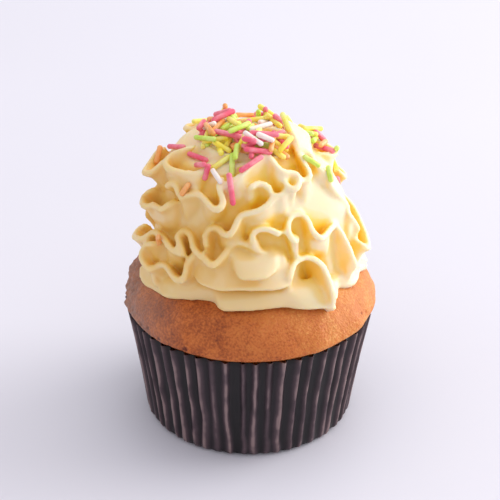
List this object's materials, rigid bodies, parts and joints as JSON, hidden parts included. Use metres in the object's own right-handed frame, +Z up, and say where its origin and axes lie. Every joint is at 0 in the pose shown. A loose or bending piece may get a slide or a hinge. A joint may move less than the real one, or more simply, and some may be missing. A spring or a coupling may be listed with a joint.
{
  "type": "cupcake",
  "caption": "Frosted cupcake: a domed golden sponge in a dark pleated paper case under a tall swirl of ruffled pale buttercream.",
  "frame": {"origin": "centre of the paper case's flat base, where it rests on the table", "axes": "+Z up, -Y the front of the cupcake as seen, +X to the viewer's right"},
  "size_m": [0.0674, 0.0671, 0.086],
  "materials": {
    "case_paper": "dark greaseproof paper, faint waxy sheen on the pleats",
    "sponge": "baked golden-brown crust, fine grain, slightly moist",
    "buttercream": "smooth pale yellow buttercream, soft satin",
    "strand_pink": "pink sugar strand, satin",
    "strand_white": "white sugar strand, satin",
    "strand_yellow": "yellow sugar strand, satin",
    "strand_green": "lime green sugar strand, satin",
    "strand_orange": "orange sugar strand, satin"
  },
  "bodies": {
    "root": {"paper_case": "case_paper", "cake": "sponge", "frosting": "buttercream"}
  },
  "joints": []
}
